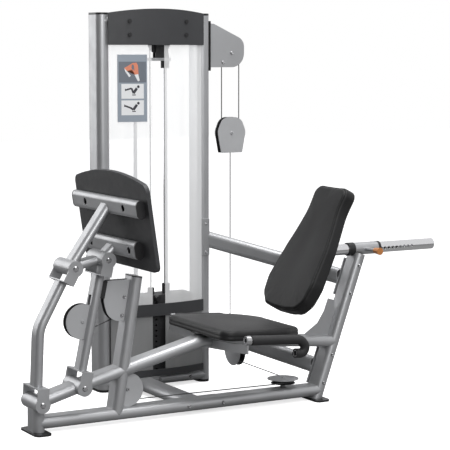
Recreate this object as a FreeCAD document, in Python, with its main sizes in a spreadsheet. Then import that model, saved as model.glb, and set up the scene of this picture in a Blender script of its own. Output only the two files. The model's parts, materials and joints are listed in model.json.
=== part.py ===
"""Seated leg press machine with a weight stack, built as separate named pieces.

Machine axes: +X runs from the foot plate to the back pad, +Y towards the weight tower,
+Z up.  The machine is laid out from the centre of its front foot, and MIDDLE_X and
MIDDLE_Y move that layout so that the origin is on the floor below the whole machine's
middle.
"""
import FreeCAD, Part
import math
import os
import Sketcher
from FreeCAD import Placement, Rotation, Vector

doc = FreeCAD.newDocument("LegPress")
sheet = doc.addObject("Spreadsheet::Sheet", "Dims")

DIMENSIONS = {
    # whole machine
    "middle_x": 1004.0, "middle_y": 171.25,
    # steel sections: flat-oval tube, long way, short way and wall
    "frame_wide": 101.6, "frame_deep": 50.8, "wall": 3.0,
    "arm_wide": 76.2, "arm_deep": 38.1,
    "column_wide": 127.0, "column_deep": 63.5,
    # floor feet
    "foot_length": 190.0, "foot_width": 76.0, "foot_thick": 8.0, "foot_corner": 25.0,
    "anchor_radius": 5.5, "anchor_spacing": 150.0,
    # base
    "rail_height": 43.4, "rear_foot_x": 1383.5, "post_lean": 19.75,
    # lower pivots (front, rear) and upper pivots (front, rear) of the foot linkage
    "pivot_a_z": 129.0, "pivot_b_x": 192.0, "pivot_b_z": 181.0,
    "pivot_c_x": 155.0, "pivot_c_z": 693.0, "pivot_d_x": 308.0, "pivot_d_z": 720.0,
    "hub_radius": 34.0, "hub_length": 150.0, "pin_radius": 9.5, "pin_play": 0.06,
    "yoke_plate": 5.0, "yoke_gap": 0.5, "yoke_reach": 70.0, "yoke_width": 52.0,
    # upright between the linkage and the seat
    "upright_foot_x": 364.0, "upright_top_x": 463.0, "upright_top_z": 633.0,
    # seat rail
    "rail_bend_x": 787.0, "rail_bend_z": 326.0, "rail_end_z": 264.5,
    # cable and pulleys
    "cable_radius": 2.4, "groove_radius": 48.0, "pulley_radius": 56.0, "pulley_half": 9.0,
    "axle_radius": 6.0, "guard_gap": 12.5, "guard_plate": 4.0,
    "link_pulley_x": 212.0, "link_pulley_z": 457.0,
    "upper_pulley_x": 409.0, "upper_pulley_z": 549.0,
    "lower_pulley_x": 423.0, "lower_pulley_z": 142.0,
    "rail_pulley_x": 1228.0, "rail_pulley_y": 15.0, "corner_x": 1300.0, "cable_plane_y": 632.0,
    "block_z": 1202.0, "top_pulley_z": 1588.0, "inner_pulley_z": 1640.0,
    # weight tower
    "tower_y": 645.0, "stack_x": 865.0, "column_left_x": 606.0, "column_right_x": 1134.5,
    "column_top": 1765.0, "column_foot": 12.0,
    "rod_radius": 9.5, "rod_offset": 80.0, "stack_bottom": 77.4, "plate_pitch": 26.2,
    "plate_thick": 26.0, "plate_count": 13, "plate_length": 400.0, "plate_depth": 110.0,
    # seat and back
    "seat_front_x": 757.0, "seat_length": 450.0, "seat_half": 282.0, "seat_thick": 48.0,
    "seat_top_front": 410.5, "seat_tilt": 3.0,
    "slide_z": 684.0, "slide_radius": 25.4, "sleeve_radius": 29.0,
    "sleeve_front": 1596.0, "sleeve_rear": 1725.0, "slide_front": 1462.0, "slide_end": 2046.0,
    "slide_holes": 8, "slide_hole_pitch": 22.0, "slide_first_hole": 1761.0,
    "handle_y": 345.0, "handle_tube": 15.0, "grip_radius": 21.0,
}
for row, (alias, value) in enumerate(DIMENSIONS.items(), start=1):
    sheet.set(f"B{row}", str(value))
    sheet.set(f"A{row}", alias)
    sheet.setAlias(f"B{row}", alias)
doc.recompute()


def dim(alias):
    """The sheet's value of one driving dimension."""
    return float(sheet.get(alias))


MIDDLE = Vector(-dim("middle_x"), -dim("middle_y"), 0)
X_AXIS, Y_AXIS, Z_AXIS = Vector(1, 0, 0), Vector(0, 1, 0), Vector(0, 0, 1)
NODES = {}


def node(label, thing):
    """Names a finished sub-part."""
    thing.Label = label
    NODES[label] = thing
    return thing


def place(x, y, z, along=Z_AXIS, across=X_AXIS):
    """Placement at a machine position: local Z runs along, local X runs across."""
    return Placement(Vector(x, y, z) + MIDDLE, Rotation(across, along.cross(across), along, "ZXY"))


def bind(thing, **expressions):
    """Binds properties to expressions of the sheet's cells."""
    for name, expression in expressions.items():
        thing.setExpression(name, str(expression))
    return thing


def spell(expression):
    """Turns bare aliases into references to the sheet."""
    words = []
    for word in str(expression).replace("(", "( ").replace(")", " )").split():
        words.append(f"Dims.{word}" if word in DIMENSIONS else word)
    return " ".join(words)


def cylinder(radius, height, placement):
    """Cylinder along local Z, its sizes given as sheet expressions."""
    thing = doc.addObject("Part::Cylinder", "Round")
    bind(thing, Radius=spell(radius), Height=spell(height))
    thing.Placement = placement
    return thing


def box(length, width, height, placement):
    """Box from its placement's corner, its sizes given as sheet expressions."""
    thing = doc.addObject("Part::Box", "Block")
    bind(thing, Length=spell(length), Width=spell(width), Height=spell(height))
    thing.Placement = placement
    return thing


def fuse(parts):
    """One solid from touching or crossing pieces."""
    thing = doc.addObject("Part::MultiFuse", "Joined")
    thing.Shapes = parts
    thing.Refine = True
    return thing


def group(parts):
    """Separate solids kept together as one node."""
    thing = doc.addObject("Part::Compound", "Group")
    thing.Links = parts
    return thing


def cut(base, tools):
    """A piece less its cutting tools."""
    thing = doc.addObject("Part::Cut", "Trimmed")
    thing.Base = base
    thing.Tool = tools[0] if len(tools) == 1 else group(tools)
    return thing


def feature(shape, placement=None):
    """A document object round a shape made with Part's own functions."""
    thing = doc.addObject("Part::Feature", "Shape")
    thing.Shape = shape
    thing.Placement = placement or Placement(MIDDLE, Rotation())
    return thing


def origin_plane(body, role):
    return next(item for item in body.Origin.OriginFeatures if item.Role == role)


def slot_loop(sketch, wide, deep, shrink):
    """A closed flat oval, long along sketch X, shrunk by a number of walls."""
    radius = dim(deep) / 2 - shrink * dim("wall")
    half = (dim(wide) - dim(deep)) / 2
    first = sketch.GeometryCount
    right, left = Vector(half, 0, 0), Vector(-half, 0, 0)
    up = Vector(0, radius, 0)
    sketch.addGeometry([
        Part.LineSegment(left + up, right + up),
        Part.ArcOfCircle(Part.Circle(right, Z_AXIS, radius), -math.pi / 2, math.pi / 2),
        Part.LineSegment(right - up, left - up),
        Part.ArcOfCircle(Part.Circle(left, Z_AXIS, radius), math.pi / 2, 3 * math.pi / 2),
    ], False)
    top, nose, bottom, tail = range(first, first + 4)
    rule = Sketcher.Constraint
    for pair in ((top, 2, nose, 2), (nose, 1, bottom, 1), (bottom, 2, tail, 2), (tail, 1, top, 1)):
        sketch.addConstraint(rule("Tangent", *pair))
    sketch.addConstraint(rule("PointOnObject", nose, 3, -1))
    sketch.addConstraint(rule("Symmetric", nose, 3, tail, 3, -1, 1))
    span = sketch.addConstraint(rule("DistanceX", tail, 3, nose, 3, 2 * half))
    sketch.setExpression(f"Constraints[{span}]", f"Dims.{wide} - Dims.{deep}")
    size = sketch.addConstraint(rule("Radius", nose, radius))
    sketch.setExpression(f"Constraints[{size}]", f"Dims.{deep} / 2 - {shrink} * Dims.wall")


def oval_bar(start, end, long_way=Y_AXIS, wide="frame_wide", deep="frame_deep", hollow=True):
    """Straight flat-oval tube between two machine points."""
    start, end = Vector(*start), Vector(*end)
    along = (end - start).normalize()
    body = doc.addObject("PartDesign::Body", "Tube")
    sketch = body.newObject("Sketcher::SketchObject", "Section")
    sketch.AttachmentSupport = (origin_plane(body, "XY_Plane"), [""])
    sketch.MapMode = "FlatFace"
    slot_loop(sketch, wide, deep, 0)
    if hollow:
        slot_loop(sketch, wide, deep, 1)
    pad = body.newObject("PartDesign::Pad", "Length")
    pad.Profile = sketch
    pad.Length = (end - start).Length
    body.Tip = pad
    body.Placement = place(start.x, start.y, start.z, along, long_way)
    return body


def outline_wire(points):
    """Closed outline; a point with a third number is a corner rounded by that radius."""
    edges, ends = [], []
    count = len(points)
    for index, point in enumerate(points):
        here = Vector(point[0], point[1], 0)
        radius = point[2] if len(point) > 2 else 0
        before = (Vector(*points[index - 1][:2], 0) - here).normalize()
        after = (Vector(*points[(index + 1) % count][:2], 0) - here).normalize()
        if not radius:
            ends.append((here, here, None))
            continue
        half = before.getAngle(after) / 2
        reach = radius / math.tan(half)
        middle = here + (before + after).normalize() * (radius / math.sin(half) - radius)
        ends.append((here + before * reach, here + after * reach, middle))
    for index, (first, last, middle) in enumerate(ends):
        if middle is not None:
            edges.append(Part.Arc(first, middle, last))
        following = ends[(index + 1) % count][0]
        if (following - last).Length > 1e-6:
            edges.append(Part.LineSegment(last, following))
    return edges


def plate(points, thickness, placement, holes=()):
    """Flat plate of an outline, padded from its placement; holes are (x, y, radius)."""
    body = doc.addObject("PartDesign::Body", "Plate")
    sketch = body.newObject("Sketcher::SketchObject", "Outline")
    sketch.AttachmentSupport = (origin_plane(body, "XY_Plane"), [""])
    sketch.MapMode = "FlatFace"
    sketch.addGeometry(outline_wire(points), False)
    for x, y, radius in holes:
        sketch.addGeometry(Part.Circle(Vector(x, y, 0), Z_AXIS, radius), False)
    pad = body.newObject("PartDesign::Pad", "Thickness")
    pad.Profile = sketch
    bind(pad, Length=spell(thickness))
    body.Tip = pad
    body.Placement = placement
    return body


def facing_y(y):
    """Plate plane with local X = X and local Y = Z, thickness towards -Y, from this y."""
    return place(0, y, 0, -Y_AXIS, X_AXIS)


def disc_outline(x, y, radius):
    """Round outline as four rounded corners."""
    near = radius * 0.999999
    return [(x - radius, y - radius, near), (x + radius, y - radius, near),
            (x + radius, y + radius, near), (x - radius, y + radius, near)]


def guard_pair(points, plane_y, *axles):
    """Two guard plates either side of a pulley, bored for axles that run along Y."""
    holes = [(at.x, at.z, dim("axle_radius") + dim("pin_play")) for at in axles]
    gap, thick = dim("guard_gap"), dim("guard_plate")
    return [plate(points, "guard_plate", facing_y(plane_y + side), holes)
            for side in (-gap, gap + thick)]


def pulley(label, x, y, z, axis=Y_AXIS):
    """Grooved nylon pulley turned about its axle."""
    body = doc.addObject("PartDesign::Body", "Pulley")
    sketch = body.newObject("Sketcher::SketchObject", "Profile")
    sketch.AttachmentSupport = (origin_plane(body, "XZ_Plane"), [""])
    sketch.MapMode = "FlatFace"
    bore = dim("axle_radius") + dim("pin_play")
    rim, half = dim("pulley_radius"), dim("pulley_half")
    floor = dim("groove_radius") - dim("cable_radius") - 0.15
    web = half - 3
    profile = [(bore, -half), (16, -half), (16, -web), (floor - 6, -web), (floor - 6, -half + 0.5),
               (rim, -half + 0.5), (rim, -6), (floor, -3), (floor, 3), (rim, 6), (rim, half - 0.5),
               (floor - 6, half - 0.5), (floor - 6, web), (16, web), (16, half), (bore, half)]
    sketch.addGeometry(outline_wire(profile), False)
    turn = body.newObject("PartDesign::Revolution", "Turned")
    turn.Profile = sketch
    turn.ReferenceAxis = (sketch, ["V_Axis"])
    turn.Angle = 360
    body.Tip = turn
    across = X_AXIS if axis != X_AXIS else Y_AXIS
    body.Placement = place(x, y, z, axis, across)
    return node(label, body)


def perpendicular(axis):
    return X_AXIS if abs(axis.x) < 0.9 else Y_AXIS


def bolt_head(x, y, z, out, head=9.0):
    """Button head with a hexagon socket, standing on a surface that faces out."""
    cap = doc.addObject("Part::Cone", "Head")
    cap.Radius1, cap.Radius2, cap.Height = head, head * 0.62, head * 0.6
    cap.Placement = place(x, y, z, out, perpendicular(out))
    socket = doc.addObject("Part::Prism", "Socket")
    socket.Polygon, socket.Circumradius, socket.Height = 6, head * 0.42, head * 0.4
    socket.Placement = place(*(Vector(x, y, z) + out * (head * 0.25)), out, perpendicular(out))
    return cut(cap, [socket])


def axle(at, axis, half_length):
    """Through axle bolt of a pulley with a head each end."""
    shaft = cylinder("axle_radius", 2 * half_length, place(*(at - axis * half_length), axis,
                                                         perpendicular(axis)))
    return fuse([shaft, bolt_head(*(at + axis * half_length), axis),
                 bolt_head(*(at - axis * half_length), axis * -1)])


def swept(points, radius, inner=0.0):
    """Round bar or tube along machine points; a fourth number rounds that corner."""
    path = []
    last = Vector(*points[0][:3])
    for index in range(1, len(points)):
        here = Vector(*points[index][:3])
        bend = points[index][3] if len(points[index]) > 3 else 0
        if not bend:
            path.append(Part.makeLine(last, here))
            last = here
            continue
        before = (last - here).normalize()
        after = (Vector(*points[index + 1][:3]) - here).normalize()
        half = before.getAngle(after) / 2
        reach = bend / math.tan(half)
        middle = here + (before + after).normalize() * (bend / math.sin(half) - bend)
        if (here + before * reach - last).Length > 1e-6:
            path.append(Part.makeLine(last, here + before * reach))
        path.append(Part.Arc(here + before * reach, middle, here + after * reach).toShape())
        last = here + after * reach
    spine = Part.Wire(path)
    start = Vector(*points[0][:3])
    heading = spine.Edges[0].tangentAt(spine.Edges[0].FirstParameter)

    def pipe(size):
        ring = Part.Wire(Part.makeCircle(size, start, heading))
        return spine.makePipeShell([ring], True, False)

    solid = pipe(radius)
    return solid.cut(pipe(inner)) if inner else solid


def oval_sweep(points, bend, wide, deep, wall):
    """Flat-oval tube, long along Y, bent once in the XZ plane at its middle point."""
    first, corner, last = (Vector(p[0], 0, p[1]) for p in points)
    before, after = (first - corner).normalize(), (last - corner).normalize()
    half = before.getAngle(after) / 2
    reach = bend / math.tan(half)
    middle = corner + (before + after).normalize() * (bend / math.sin(half) - bend)
    spine = Part.Wire([
        Part.makeLine(first, corner + before * reach),
        Part.Arc(corner + before * reach, middle, corner + after * reach).toShape(),
        Part.makeLine(corner + after * reach, last),
    ])

    def section(shrink):
        radius, offset = deep / 2 - shrink, Y_AXIS * ((wide - deep) / 2)
        side = (corner - first).normalize().cross(Y_AXIS) * radius
        end = Y_AXIS * radius
        return Part.Wire([
            Part.makeLine(first - offset + side, first + offset + side),
            Part.Arc(first + offset + side, first + offset + end, first + offset - side).toShape(),
            Part.makeLine(first + offset - side, first - offset - side),
            Part.Arc(first - offset - side, first - offset - end, first - offset + side).toShape(),
        ])

    outer = spine.makePipeShell([section(0)], True, False)
    return outer.cut(spine.makePipeShell([section(wall)], True, False)) if wall else outer


# --- linkage pivots and main lines ------------------------------------------------------------
A = Vector(0, 0, dim("pivot_a_z"))
B = Vector(dim("pivot_b_x"), 0, dim("pivot_b_z"))
C = Vector(dim("pivot_c_x"), 0, dim("pivot_c_z"))
D = Vector(dim("pivot_d_x"), 0, dim("pivot_d_z"))
LEAN = math.radians(dim("post_lean"))
POST_UP = Vector(math.sin(LEAN), 0, math.cos(LEAN))
POST_FOOT = Vector(dim("rear_foot_x"), 0, dim("foot_thick"))
RAIL_BEND = Vector(dim("rail_bend_x"), 0, dim("rail_bend_z"))
UPRIGHT_FOOT = Vector(dim("upright_foot_x"), 0, dim("rail_height"))
UPRIGHT_TOP = Vector(dim("upright_top_x"), 0, dim("upright_top_z"))
UPRIGHT_UP = (UPRIGHT_TOP - UPRIGHT_FOOT).normalize()
LINK_UP = (D - B).normalize()
LINK_FORE = Y_AXIS.cross(LINK_UP)
FACE = dim("frame_deep") / 2
AXLE_HALF = dim("guard_gap") + dim("guard_plate")
NOSE = dim("frame_wide") / 2


def post_at(z):
    """Centre of the rear post at a height."""
    return POST_FOOT + POST_UP * ((z - POST_FOOT.z) / POST_UP.z)


def hub(at, bore=True):
    """Pivot barrel along Y, with its pin bore."""
    start = at - Y_AXIS * (dim("hub_length") / 2)
    barrel = cylinder("hub_radius", "hub_length", place(*start, Y_AXIS))
    if not bore:
        return barrel
    drill = cylinder("pin_radius + pin_play", "hub_length", place(*start, Y_AXIS))
    return cut(barrel, [drill])


def yoke(at, towards):
    """U-yoke round a pivot barrel: two cheeks and the web that carries the link."""
    up = towards.normalize()
    across = Y_AXIS.cross(up)
    inner = dim("hub_length") / 2 + dim("yoke_gap")
    thick, reach, half = dim("yoke_plate"), dim("yoke_reach"), dim("yoke_width") / 2
    pieces = []
    for side in (-1, 1):
        start = at + Y_AXIS * (side * inner if side > 0 else side * (inner + thick))
        ear = cylinder("hub_radius", "yoke_plate", place(*start, Y_AXIS))
        corner = start - across * half
        neck = box("yoke_width", "yoke_plate", "yoke_reach", place(*corner, up, across))
        pieces += [ear, neck]
    web_start = at + up * (reach - thick) - across * half - Y_AXIS * (inner + thick)
    pieces.append(box("yoke_width", "hub_length + 2 * yoke_gap + 2 * yoke_plate", "yoke_plate",
                      place(*web_start, up, across)))
    start = at - Y_AXIS * (inner + 2 * thick)
    drill = cylinder("pin_radius + pin_play", "hub_length + 6 * yoke_plate",
                     place(*start, Y_AXIS))
    return pieces, drill


def pin(at):
    """Pivot pin through a yoke and its barrel, with a domed head at each end."""
    reach = dim("hub_length") / 2 + dim("yoke_gap") + dim("yoke_plate")
    shaft = cylinder("pin_radius", 2 * reach, place(*(at - Y_AXIS * reach), Y_AXIS))
    heads = []
    for side in (-1, 1):
        head = doc.addObject("Part::Cone", "Head")
        head.Radius1, head.Radius2, head.Height = 13.0, 8.5, 5.5
        head.Placement = place(*(at + Y_AXIS * (side * reach)), Y_AXIS * side, X_AXIS)
        heads.append(head)
    return fuse([shaft] + heads)


# --- base and uprights ------------------------------------------------------------------------
RAIL_Z = dim("rail_height")
post_bar = oval_bar((0, 0, dim("foot_thick")), A)
node("front_post", cut(post_bar, [hub(A, False)]))


def foot(x):
    """Rubber-faced floor plate under a post, with an anchor hole each end."""
    half_x, half_y = dim("foot_width") / 2, dim("foot_length") / 2
    corner = dim("foot_corner")
    outline = [(sx * half_x, sy * half_y, corner) for sx, sy in ((-1, -1), (1, -1), (1, 1), (-1, 1))]
    reach = dim("anchor_spacing") / 2
    holes = [(0, side * reach, dim("anchor_radius")) for side in (-1, 1)]
    return plate(outline, "foot_thick", place(x, 0, 0), holes)


def column_foot(x):
    """Rubber shoe under a tower column."""
    start = (x, dim("tower_y"), 0)
    return oval_bar(start, Vector(*start) + Z_AXIS * dim("column_foot"), Y_AXIS, "column_wide",
                    "column_deep", False)


COLUMNS = (dim("column_left_x"), dim("column_right_x"))
node("floor_feet", group([foot(0), foot(dim("rear_foot_x"))] + [column_foot(x) for x in COLUMNS]))

post_solid = oval_bar(POST_FOOT - POST_UP * 60, post_at(dim("slide_z")), hollow=False)
front_solid = oval_bar((0, 0, 0), (0, 0, 120), hollow=False)
node("base_rail", cut(oval_bar((0, 0, RAIL_Z), (post_at(RAIL_Z).x, 0, RAIL_Z)),
                      [post_solid, front_solid]))
node("pivot_housings", group([hub(A), hub(B)]))

upright_solid = oval_bar(UPRIGHT_FOOT, UPRIGHT_TOP, hollow=False)
strut_rear_end = B + (RAIL_BEND - B) * ((UPRIGHT_FOOT.x + 30 - B.x) / (RAIL_BEND.x - B.x))
node("pivot_strut", group([
    cut(oval_bar(A, B), [hub(A, False), hub(B, False)]),
    cut(oval_bar(B, strut_rear_end), [hub(B, False), upright_solid]),
]))
seat_line = [(strut_rear_end.x + 4, strut_rear_end.z + 1),
             (RAIL_BEND.x, RAIL_BEND.z), (post_at(dim("rail_end_z")).x, dim("rail_end_z"))]
rail_shape = oval_sweep(seat_line, 90, dim("frame_wide"), dim("frame_deep"), dim("wall"))
node("seat_rail", cut(feature(rail_shape), [upright_solid, post_solid]))
rail_whole = feature(oval_sweep(seat_line, 90, dim("frame_wide"), dim("frame_deep"), 0))


def pulley_window(x, z, plane_y=0.0):
    """Clearance for a pulley that runs partly inside a tube."""
    half = dim("guard_gap")
    return cylinder("pulley_radius + 3", "2 * guard_gap", place(x, plane_y - half, z, Y_AXIS))


UPPER = Vector(dim("upper_pulley_x"), 0, dim("upper_pulley_z"))
LOWER = Vector(dim("lower_pulley_x"), 0, dim("lower_pulley_z"))
LINK_PULLEY = Vector(dim("link_pulley_x"), 0, dim("link_pulley_z"))
ANCHOR_LINK = UPPER + Vector(-12, 0, -80)
rail_solid = oval_bar((0, 0, RAIL_Z), (1400, 0, RAIL_Z), hollow=False)
node("front_upright", cut(oval_bar(UPRIGHT_FOOT, UPRIGHT_TOP), [
    rail_solid, pulley_window(UPPER.x, UPPER.z), pulley_window(LOWER.x, LOWER.z)]))

# rear post: foot cut level, top saddled under the sleeve
floor_block = box("400", "400", "100", place(1200, -200, dim("foot_thick") - 100))
sleeve_round = cylinder("sleeve_radius", "600", place(1400, 0, dim("slide_z"), X_AXIS, Y_AXIS))
bushing_round = cylinder("sleeve_radius + 1.8", dim("sleeve_front") - 1400,
                         place(1400, 0, dim("slide_z"), X_AXIS, Y_AXIS))
node("rear_post", cut(oval_bar(POST_FOOT - POST_UP * 30, post_at(dim("slide_z") - 22)),
                      [floor_block, sleeve_round, bushing_round]))

# gusset in the corner between seat rail and rear post
gusset_points = [(1310, 270), (1335, 306), (1405, 352), (1440, 405), (1462, 462), (1495, 452),
                 (1500, 300), (1440, 250)]
node("post_gusset", cut(plate(gusset_points, "6", facing_y(3)), [post_solid, rail_whole]))

# --- seat slide sleeve ------------------------------------------------------------------------
SLIDE_Z = dim("slide_z")
PIN_X = dim("slide_first_hole") - 5 * dim("slide_hole_pitch")
sleeve = cylinder("sleeve_radius", "sleeve_rear - sleeve_front",
                  place(dim("sleeve_front"), 0, SLIDE_Z, X_AXIS, Y_AXIS))
barrel = cylinder("9", "74", place(PIN_X, -26, SLIDE_Z, -Y_AXIS))
sleeve_tools = [
    cylinder("slide_radius + 0.6", "sleeve_rear - sleeve_front",
             place(dim("sleeve_front"), 0, SLIDE_Z, X_AXIS, Y_AXIS)),
    cylinder("5.1", "80", place(PIN_X, -24, SLIDE_Z, -Y_AXIS)),
]
node("seat_sleeve", cut(fuse([sleeve, barrel]), sleeve_tools))


def bushing(start, length, radius):
    """Nylon bushing round the chrome tube."""
    ring = cylinder(radius, length, place(start, 0, SLIDE_Z, X_AXIS, Y_AXIS))
    bore = cylinder("slide_radius + 0.08", length, place(start, 0, SLIDE_Z, X_AXIS, Y_AXIS))
    return cut(ring, [bore])


node("sleeve_bushings", group([bushing(dim("sleeve_front") - 34, 34, "sleeve_radius + 1.5"),
                               bushing(dim("sleeve_rear"), 13, "sleeve_radius + 1")]))

# --- pulley guards and brackets on the frame --------------------------------------------------
GROOVE = dim("groove_radius")
FACE_GAP = 0.3
BUMPER = 22.0
bumper_line = dim("arm_deep") / 2 + FACE_GAP + BUMPER


def along_link(distance, offset):
    """Point beside the rear link: distance up from its lower pivot, offset towards +X."""
    return B + LINK_UP * distance + LINK_FORE * offset


edge_top = along_link(470, bumper_line)
edge_low = along_link(375, bumper_line)
bracket_top = 640.0
upright_face = UPRIGHT_FOOT + UPRIGHT_UP * ((bracket_top - UPRIGHT_FOOT.z) / UPRIGHT_UP.z)
bracket_points = [
    (edge_low.x, edge_low.z, 60), (along_link(462, bumper_line).x, along_link(462, bumper_line).z, 4),
    (upright_face.x, along_link(462, bumper_line).z), (UPPER.x + 20, UPPER.z - 103),
    (UPPER.x - 75, UPPER.z - 103, 70)]
node("upright_bracket", group([cut(side, [upright_solid])
                               for side in guard_pair(bracket_points, 0, UPPER, ANCHOR_LINK)]))
# the link's stop block stands on the bracket in two halves, the cable running between them
bumper_face = along_link(385, dim("arm_deep") / 2 + FACE_GAP)
bumpers = [box(BUMPER, "14", "75", place(*(bumper_face + Y_AXIS * start), LINK_UP, LINK_FORE))
           for start in (-20, 6)]

rail_pulley = Vector(dim("rail_pulley_x"), dim("rail_pulley_y"), LOWER.z - GROOVE)
corner = Vector(dim("corner_x"), dim("cable_plane_y") - GROOVE, LOWER.z)
UPRIGHT_FORE = Y_AXIS.cross(UPRIGHT_UP)
ahead = UPRIGHT_FOOT - UPRIGHT_FORE * 200 - Y_AXIS * 100
ahead_of_upright = box("200", "200", "700", place(*ahead, UPRIGHT_UP, UPRIGHT_FORE))
lower_guards = [cut(side, [upright_solid, rail_solid, rail_whole, ahead_of_upright])
                for side in guard_pair(disc_outline(LOWER.x, LOWER.z, 74), 0, LOWER)]
stub = cylinder("axle_radius + 6", "60", place(rail_pulley.x, rail_pulley.y, rail_pulley.z - 71))
rail_mount = fuse([stub, cylinder("axle_radius", "42",
                                  place(rail_pulley.x, rail_pulley.y, rail_pulley.z - 22))])
rail_guard = cut(cylinder("72", "3", place(rail_pulley.x, rail_pulley.y, rail_pulley.z + 11)),
                 [cylinder("axle_radius + 0.06", "10",
                           place(rail_pulley.x, rail_pulley.y, rail_pulley.z + 8))])
column_face = dim("column_right_x") + dim("column_deep") / 2
corner_points = [(corner.y - 76, corner.z - 76, 75.9), (corner.y + 76, corner.z - 76, 75.9),
                 (corner.y + 76, corner.z + 92, 8), (corner.y + 20, corner.z + 92, 8),
                 (corner.y - 76, corner.z + 30, 40)]


def facing_x(x):
    """Plate plane with local X = Y and local Y = Z, thickness towards +X, from this x."""
    return place(x, 0, 0, X_AXIS, Y_AXIS)


corner_hole = [(corner.y, corner.z, dim("axle_radius") + dim("pin_play"))]
corner_plates = [plate(corner_points, "guard_plate", facing_x(x), corner_hole)
                 for x in (corner.x - dim("guard_gap") - dim("guard_plate"), corner.x + dim("guard_gap"))]
corner_arm = box(corner.x - dim("guard_gap") - dim("guard_plate") - column_face, "20", "30",
                 place(column_face, corner.y + 54, corner.z + 58))
corner_bridge = box(2 * dim("guard_gap"), "20", "8", place(corner.x - dim("guard_gap"), corner.y + 54,
                                                     corner.z + 80))
node("pulley_guards", group(lower_guards + [cut(rail_mount, [rail_solid]), rail_guard]
                            + corner_plates + [corner_arm, corner_bridge]))

# --- tower ------------------------------------------------------------------------------------
TOWER_Y, PLANE_Y = dim("tower_y"), dim("cable_plane_y")
TOP = Vector(corner.x, PLANE_Y, dim("top_pulley_z"))
STACK_X = dim("stack_x")
INNER = Vector(STACK_X + GROOVE, PLANE_Y, dim("inner_pulley_z"))
CROSSING_Z = 1657.0
cable_way = cylinder("14", "200", place(column_face - 100, PLANE_Y, CROSSING_Z, X_AXIS, Y_AXIS))
columns = []
for x in COLUMNS:
    tube = oval_bar((x, TOWER_Y, dim("column_foot")), (x, TOWER_Y, dim("column_top")), Y_AXIS,
                    "column_wide", "column_deep")
    columns.append(cut(tube, [cable_way]) if x == COLUMNS[1] else tube)
node("tower_columns", group(columns))


def tube_cap(centre, up, wide, deep, height):
    """Closed plastic cap on the end of a flat-oval tube."""
    return oval_bar(centre, centre + up * height, Y_AXIS, wide, deep, False)


node("tube_caps", group(
    [tube_cap(Vector(x, TOWER_Y, dim("column_top")), Z_AXIS, "column_wide", "column_deep", 10)
     for x in COLUMNS] + [tube_cap(UPRIGHT_TOP, UPRIGHT_UP, "frame_wide", "frame_deep", 5)]))

column_solids = [oval_bar((x, TOWER_Y, 0), (x, TOWER_Y, dim("column_top") + 10), Y_AXIS,
                          "column_wide", "column_deep", False) for x in COLUMNS]
BEAM_LOW, BEAM_HIGH, ROD_TOP = 35.0, 1735.0, 1552.0
beam_span = (COLUMNS[0], COLUMNS[1])
node("tower_beams", group([
    cut(oval_bar((beam_span[0], PLANE_Y, z), (beam_span[1], PLANE_Y, z)), column_solids)
    for z in (BEAM_LOW, BEAM_HIGH)]))
beam_top = BEAM_LOW + FACE
rods = [cylinder("rod_radius", ROD_TOP - beam_top,
                 place(STACK_X + side * dim("rod_offset"), PLANE_Y, beam_top)) for side in (-1, 1)]
node("guide_rods", group(rods))


def ring(x, z, outer, height):
    """Ring round a guide rod."""
    body = cylinder(outer, height, place(x, PLANE_Y, z))
    return cut(body, [cylinder("rod_radius + 0.3", height, place(x, PLANE_Y, z))])


STACK_LOW = dim("stack_bottom")
ROD_XS = [STACK_X + side * dim("rod_offset") for side in (-1, 1)]
node("rubber_bumpers", group(
    bumpers + [ring(x, beam_top, "24", STACK_LOW - beam_top) for x in ROD_XS]
    + [ring(x, ROD_TOP - 34, "20", 34) for x in ROD_XS]))


def weight(z):
    """One weight plate, bored for the guide rods and the selector stem, cross-drilled."""
    length, depth = dim("plate_length"), dim("plate_depth")
    outline = [(STACK_X + sx * length / 2, PLANE_Y + sy * depth / 2, 8)
               for sx, sy in ((-1, -1), (1, -1), (1, 1), (-1, 1))]
    holes = [(x, PLANE_Y, dim("rod_radius") + 1.5) for x in ROD_XS] + [(STACK_X, PLANE_Y, 12.5)]
    slab = plate(outline, "plate_thick", place(0, 0, z), holes)
    drill = cylinder("5.5", depth / 2, place(STACK_X, PLANE_Y - depth / 2 - 1, z + 13, Y_AXIS))
    return cut(slab, [drill])


PITCH = dim("plate_pitch")
plate_total = int(dim("plate_count"))
node("weight_plates", group([weight(STACK_LOW + index * PITCH) for index in range(plate_total)]))
HEAD_Z = STACK_LOW + plate_total * PITCH
HEAD_TOP = HEAD_Z + dim("plate_thick")


def stack_head():
    """Top plate with the selector stem that hangs through the plates below it."""
    length, depth = dim("plate_length"), dim("plate_depth")
    outline = [(STACK_X + sx * length / 2, PLANE_Y + sy * depth / 2, 8)
               for sx, sy in ((-1, -1), (1, -1), (1, 1), (-1, 1))]
    slab = plate(outline, "plate_thick", place(0, 0, HEAD_Z),
                 [(x, PLANE_Y, dim("rod_radius") + 1.5) for x in ROD_XS])
    stem = cylinder("10", plate_total * PITCH - 10, place(STACK_X, PLANE_Y, STACK_LOW + 10))
    boss = cylinder("16", "30", place(STACK_X, PLANE_Y, HEAD_TOP))
    depth_in = depth / 2 + 8
    drill = cylinder("5.5", depth_in, place(STACK_X, PLANE_Y - depth / 2 - 1, HEAD_Z + 13, Y_AXIS))
    return cut(fuse([slab, stem, boss]), [drill])


node("stack_head", stack_head())
head_rings = [ring(x, HEAD_TOP, "19", 46) for x in ROD_XS]
node("head_bushings", group(head_rings))
pin_front = PLANE_Y - dim("plate_depth") / 2
selector = fuse([cylinder("5.2", "56", place(STACK_X, pin_front - 2, HEAD_Z + 13, Y_AXIS)),
                 cylinder("13", "26", place(STACK_X, pin_front - 28, HEAD_Z + 13, Y_AXIS))])
node("selector_pin", selector)

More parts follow.
